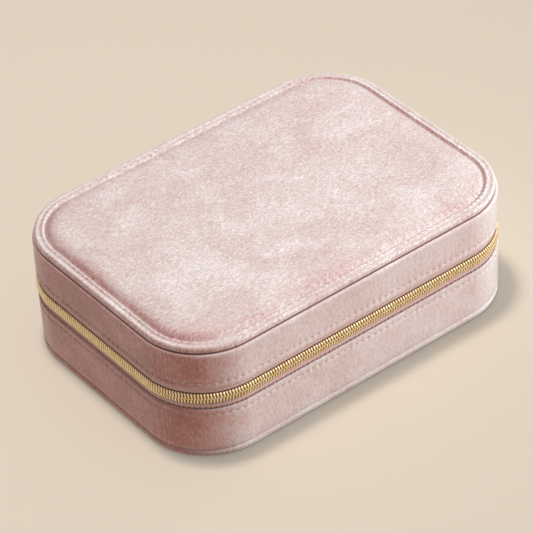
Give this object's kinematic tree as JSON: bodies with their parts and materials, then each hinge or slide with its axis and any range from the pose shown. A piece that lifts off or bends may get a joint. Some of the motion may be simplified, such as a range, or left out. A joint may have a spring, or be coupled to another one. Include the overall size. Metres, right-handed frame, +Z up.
{
  "type": "travel jewelry case",
  "caption": "Zipped travel jewelry case of velvet over board, with ring rolls, compartments, an earring panel, and a mirror and necklace straps in the hinged lid.",
  "frame": {"origin": "middle of the flat underside, on the surface that the case rests on", "axes": "+X along the long side, away from the ring rolls; -Y towards the front, away from the hinge; +Z up"},
  "size_m": [0.1751, 0.1208, 0.0542],
  "materials": {
    "velvet": "short velvet nap, blush pink, dull with a soft sheen",
    "lining": "short velvet lining, pale blush pink",
    "zip_tape": "woven polyester tape, mauve",
    "gold_metal": "bright gold plating",
    "mirror": "silvered glass",
    "board": "grey-brown pressed board",
    "foam": "soft open foam"
  },
  "bodies": {
    "base": {"base_bottom_panel": "velvet", "base_side_wall": "velvet", "base_lining_wall": "lining", "base_floor_pad": "lining", "ring_section_divider": "lining", "cross_divider": "lining", "short_divider": "lining", "ring_roll_1": "lining", "ring_roll_2": "lining", "ring_roll_3": "lining", "ring_roll_4": "lining", "ring_roll_5": "lining", "ring_roll_6": "lining", "ring_roll_7": "lining", "zipper_tape_lower": "zip_tape", "zipper_coil_lower": "gold_metal", "zipper_stop_right": "gold_metal", "zipper_stop_left": "gold_metal", "hinge_panel": "velvet", "earring_panel_hinge": "lining"},
    "lid": {"lid_side_wall": "velvet", "lid_lining_wall": "lining", "lid_top_board": "board", "lid_top_foam": "foam", "lid_top_cover": "velvet", "lid_lining_panel": "lining", "mirror_glass": "mirror", "mirror_bezel": "gold_metal", "elastic_pocket": "lining", "zipper_tape_upper": "zip_tape", "zipper_coil_upper": "gold_metal", "snap_stud_1": "gold_metal", "snap_stud_2": "gold_metal", "snap_stud_3": "gold_metal"},
    "slider": {"zipper_slider": "gold_metal"},
    "pull": {"pull_link": "gold_metal", "pull_tab": "gold_metal"},
    "earring_flap": {"earring_panel": "lining", "earring_panel_ribbon": "zip_tape"},
    "strap_1": {"necklace_strap_1": "velvet", "snap_cap_1": "gold_metal"},
    "strap_2": {"necklace_strap_2": "velvet", "snap_cap_2": "gold_metal"},
    "strap_3": {"necklace_strap_3": "velvet", "snap_cap_3": "gold_metal"}
  },
  "joints": [
    {"name": "lid_hinge", "type": "hinge", "parent": "base", "child": "lid", "pos_m": [0, 0.0605, 0.02845], "axis": [-1, 0, 0], "range_deg": [0, 180], "deforming": ["hinge_panel"]},
    {"name": "earring_flap_hinge", "type": "hinge", "parent": "base", "child": "earring_flap", "pos_m": [0.027, 0.0512, 0.0269], "axis": [-1, 0, 0], "range_deg": [0, 108], "deforming": ["earring_panel_hinge"]},
    {"name": "slider_run", "type": "slide", "parent": "base", "child": "slider", "axis": [0, -1, 0], "range_m": [0, 0.048], "deforming": ["zipper_coil_lower", "zipper_coil_upper"]},
    {"name": "pull_swing", "type": "hinge", "parent": "slider", "child": "pull", "pos_m": [0.0885, 0.024, 0.02865], "axis": [0, -1, 0], "range_deg": [0, 170]},
    {"name": "strap_hinge_1", "type": "hinge", "parent": "lid", "child": "strap_1", "pos_m": [0.016, -0.047, 0.0456], "axis": [-1, 0, 0], "range_deg": [0, 90]},
    {"name": "strap_hinge_2", "type": "hinge", "parent": "lid", "child": "strap_2", "pos_m": [0.036, -0.047, 0.0456], "axis": [-1, 0, 0], "range_deg": [0, 90]},
    {"name": "strap_hinge_3", "type": "hinge", "parent": "lid", "child": "strap_3", "pos_m": [0.056, -0.047, 0.0456], "axis": [-1, 0, 0], "range_deg": [0, 90]}
  ],
  "couplings": [
    {"joint": "earring_flap_hinge", "follows": "lid_hinge", "ratio": 0.6}
  ]
}
